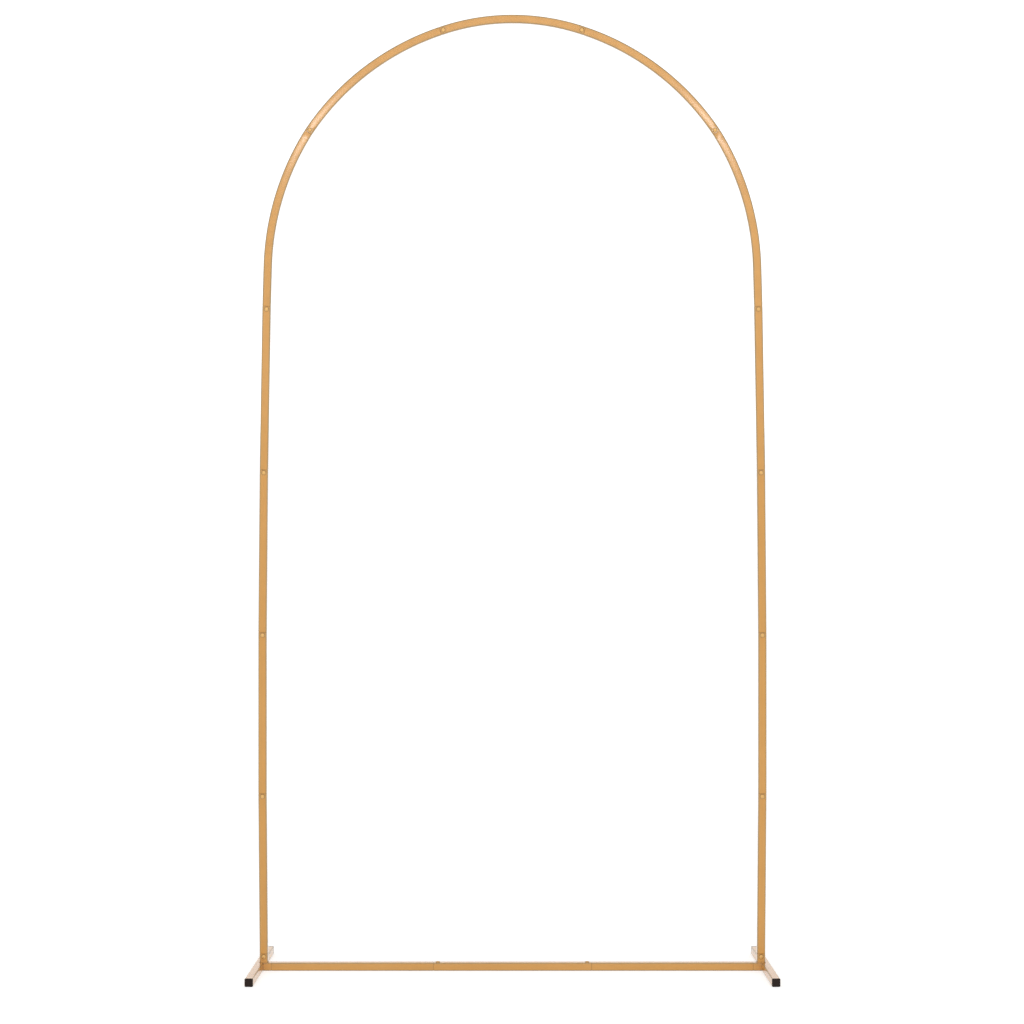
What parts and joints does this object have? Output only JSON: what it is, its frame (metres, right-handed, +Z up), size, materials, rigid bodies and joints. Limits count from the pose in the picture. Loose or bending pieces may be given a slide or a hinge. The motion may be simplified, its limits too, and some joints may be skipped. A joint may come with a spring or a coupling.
{
  "type": "wedding arch",
  "caption": "Round-topped wedding arch frame of slim square steel tubes that plug together, standing on short cross feet joined by a floor bar.",
  "frame": {"origin": "on the floor, midway between the posts and in the plane of the arch", "axes": "+X along the base bar, -Y towards the front, +Z up"},
  "size_m": [1.0572, 0.3064, 1.9164],
  "materials": {
    "gold_paint": "satin gold powder coat",
    "button_steel": "bright plated spring steel",
    "black_plastic": "moulded black plastic"
  },
  "bodies": {
    "root": {"arch_crown": "gold_paint", "base_bar_middle": "gold_paint", "left_arch_haunch": "gold_paint", "left_arch_shoulder": "gold_paint", "left_foot": "gold_paint", "left_post_stub": "gold_paint", "left_bar_stub": "gold_paint", "base_bar_left": "gold_paint", "left_post_tube_1": "gold_paint", "left_post_tube_2": "gold_paint", "left_post_tube_3": "gold_paint", "left_post_tube_4": "gold_paint", "right_arch_haunch": "gold_paint", "right_arch_shoulder": "gold_paint", "right_foot": "gold_paint", "right_post_stub": "gold_paint", "right_bar_stub": "gold_paint", "base_bar_right": "gold_paint", "right_post_tube_1": "gold_paint", "right_post_tube_2": "gold_paint", "right_post_tube_3": "gold_paint", "right_post_tube_4": "gold_paint", "left_post_snap_1": "button_steel", "left_post_snap_2": "button_steel", "left_post_snap_3": "button_steel", "left_post_snap_4": "button_steel", "left_post_snap_5": "button_steel", "left_crown_snap": "button_steel", "left_haunch_snap": "button_steel", "left_bar_snap": "button_steel", "right_post_snap_1": "button_steel", "right_post_snap_2": "button_steel", "right_post_snap_3": "button_steel", "right_post_snap_4": "button_steel", "right_post_snap_5": "button_steel", "right_crown_snap": "button_steel", "right_haunch_snap": "button_steel", "right_bar_snap": "button_steel", "left_foot_front_cap": "black_plastic", "left_foot_back_cap": "black_plastic", "right_foot_front_cap": "black_plastic", "right_foot_back_cap": "black_plastic"}
  },
  "joints": []
}
